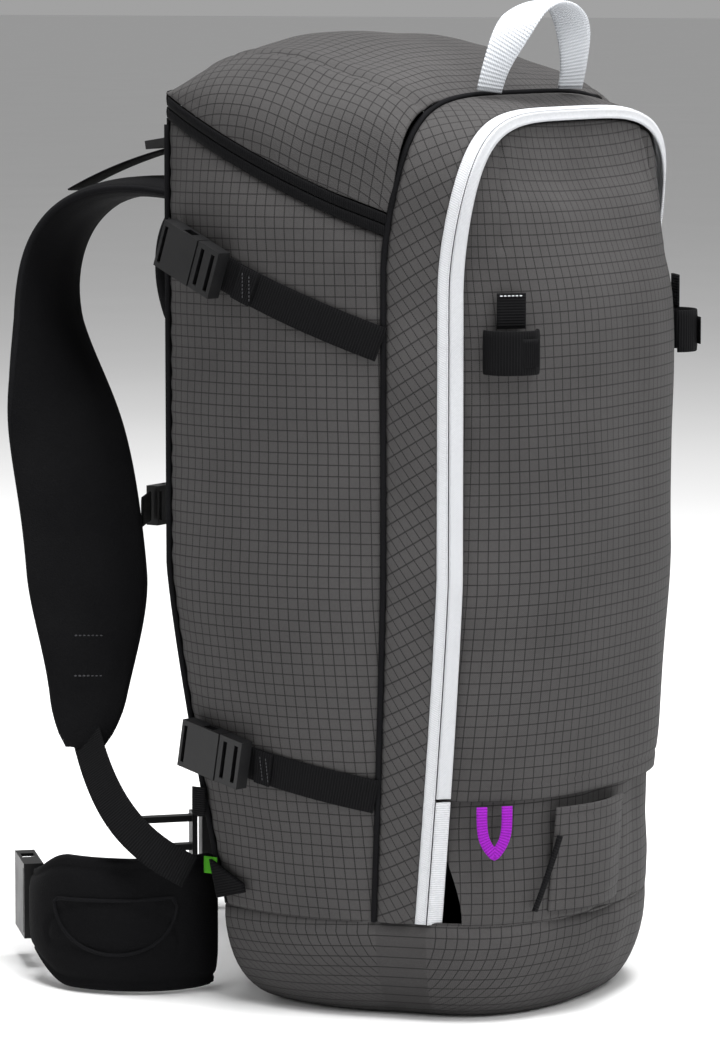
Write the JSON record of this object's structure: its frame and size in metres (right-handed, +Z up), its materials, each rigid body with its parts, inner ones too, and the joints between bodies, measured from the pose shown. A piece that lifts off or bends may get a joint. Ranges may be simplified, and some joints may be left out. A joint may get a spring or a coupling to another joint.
{
  "type": "ski backpack",
  "caption": "Grey ripstop ski backpack with a zipped dome lid, U-zip front flap, side compression straps, grab handle, padded shoulder straps and hip belt.",
  "frame": {"origin": "on the ground under the pack, in the middle of its base from side to side", "axes": "+Z up, +Y towards the wearer, -Y towards the front flap, -X the side whose straps are on the left of a viewer facing the flap"},
  "size_m": [0.3316, 0.3958, 0.5843],
  "materials": {
    "ripstop": "matte ripstop",
    "webbing_black": "ribbed webbing",
    "pad_fabric": "padded knit",
    "lining": "matte",
    "zip_white": "matte zip tape",
    "zip_black": "matte zip tape",
    "webbing_white": "ribbed webbing",
    "webbing_purple": "ribbed webbing",
    "buckle_plastic": "moulded",
    "aluminium": "satin",
    "frame_plastic": "matte"
  },
  "bodies": {
    "pack": {"base_panel": "ripstop", "side_panel_left": "ripstop", "side_panel_right": "ripstop", "back_panel": "pad_fabric", "gusset": "ripstop", "divider": "lining", "gusset_zip_tape": "zip_white", "body_zip_tape": "zip_black", "front_lower_panel": "ripstop", "pick_pocket": "ripstop", "pocket_toggle": "webbing_black", "back_pad": "pad_fabric", "lumbar_pad": "pad_fabric", "frame_sheet": "frame_plastic", "frame_stay": "aluminium", "harness_yoke": "pad_fabric", "strap_anchors": "pad_fabric", "side_webs_left": "webbing_black", "side_webs_right": "webbing_black", "sockets_left": "buckle_plastic", "sockets_right": "buckle_plastic"},
    "lid": {"lid_panel": "ripstop", "lid_zip_tape": "zip_black"},
    "front_flap": {"front_upper_panel": "ripstop", "flap_zip_tape": "zip_white", "tool_keeper_left": "webbing_black", "tool_keeper_right": "webbing_black"},
    "handle": {"grab_handle": "webbing_white"},
    "axe_loop": {"axe_loop": "webbing_purple"},
    "plug_upper_left": {"plug_upper_left": "buckle_plastic", "tail_upper_left": "webbing_black"},
    "plug_upper_right": {"plug_upper_right": "buckle_plastic", "tail_upper_right": "webbing_black"},
    "plug_lower_left": {"plug_lower_left": "buckle_plastic", "tail_lower_left": "webbing_black"},
    "plug_lower_right": {"plug_lower_right": "buckle_plastic", "tail_lower_right": "webbing_black"},
    "lid_slider": {"lid_zip_slider": "aluminium"},
    "front_slider": {"front_zip_slider": "aluminium"},
    "harness_left": {"shoulder_pad_left": "pad_fabric", "lifter_web_left": "webbing_black", "lifter_lock_left": "buckle_plastic", "lower_web_left": "webbing_black", "sternum_web_left": "webbing_black", "sternum_socket": "buckle_plastic"},
    "harness_right": {"shoulder_pad_right": "pad_fabric", "lifter_web_right": "webbing_black", "lifter_lock_right": "buckle_plastic", "lower_web_right": "webbing_black", "sternum_web_right": "webbing_black", "sternum_plug": "buckle_plastic"},
    "hip_belt_left": {"hip_pad_left": "pad_fabric", "hip_web_left": "webbing_black", "hip_socket": "buckle_plastic"},
    "hip_belt_right": {"hip_pad_right": "pad_fabric", "hip_web_right": "webbing_black", "hip_plug": "buckle_plastic"}
  },
  "joints": [
    {"name": "lid_hinge", "type": "hinge", "parent": "pack", "child": "lid", "pos_m": [0, -0.0505, 0.532], "axis": [1, 0, 0], "range_deg": [0, 72]},
    {"name": "flap_hinge", "type": "hinge", "parent": "pack", "child": "front_flap", "pos_m": [0, -0.1193, 0.131], "axis": [1, 0, 0], "range_deg": [0, 80]},
    {"name": "handle_hinge", "type": "hinge", "parent": "pack", "child": "handle", "pos_m": [0, -0.058, 0.5325], "axis": [1, 0, 0], "range_deg": [0, 64]},
    {"name": "axe_loop_hinge", "type": "hinge", "parent": "pack", "child": "axe_loop", "pos_m": [-0.09613, -0.09198, 0.1292], "axis": [-0.7085, 0.7057, 0], "range_deg": [0, 75]},
    {"name": "upper_left_buckle", "type": "slide", "parent": "pack", "child": "plug_upper_left", "axis": [-0.2268, -0.9061, -0.3572], "range_m": [0, 0.026]},
    {"name": "upper_right_buckle", "type": "slide", "parent": "pack", "child": "plug_upper_right", "axis": [0.2268, -0.9061, -0.3572], "range_m": [0, 0.026]},
    {"name": "lower_left_buckle", "type": "slide", "parent": "pack", "child": "plug_lower_left", "axis": [-0.196, -0.964, -0.1799], "range_m": [0, 0.026]},
    {"name": "lower_right_buckle", "type": "slide", "parent": "pack", "child": "plug_lower_right", "axis": [0.196, -0.964, -0.1799], "range_m": [0, 0.026]},
    {"name": "lid_zip_slide", "type": "slide", "parent": "pack", "child": "lid_slider", "axis": [0.2883, -0.8738, -0.3917], "range_m": [0, 0.03]},
    {"name": "front_zip_slide", "type": "slide", "parent": "pack", "child": "front_slider", "axis": [0, 0, 1], "range_m": [-0.12, 0.015]},
    {"name": "harness_left_hinge", "type": "hinge", "parent": "pack", "child": "harness_left", "pos_m": [-0.066, 0.116, 0.5], "axis": [0.1377, 0.0826, 0.987], "range_deg": [-5, 12]},
    {"name": "harness_right_hinge", "type": "hinge", "parent": "pack", "child": "harness_right", "pos_m": [0.066, 0.116, 0.5], "axis": [0.1377, -0.0826, -0.987], "range_deg": [-5, 12]},
    {"name": "hip_left_hinge", "type": "hinge", "parent": "pack", "child": "hip_belt_left", "pos_m": [-0.091, 0.107, 0.042], "axis": [0, 0, -1], "range_deg": [-3, 24]},
    {"name": "hip_right_hinge", "type": "hinge", "parent": "pack", "child": "hip_belt_right", "pos_m": [0.091, 0.107, 0.042], "axis": [0, 0, 1], "range_deg": [-3, 24]}
  ]
}
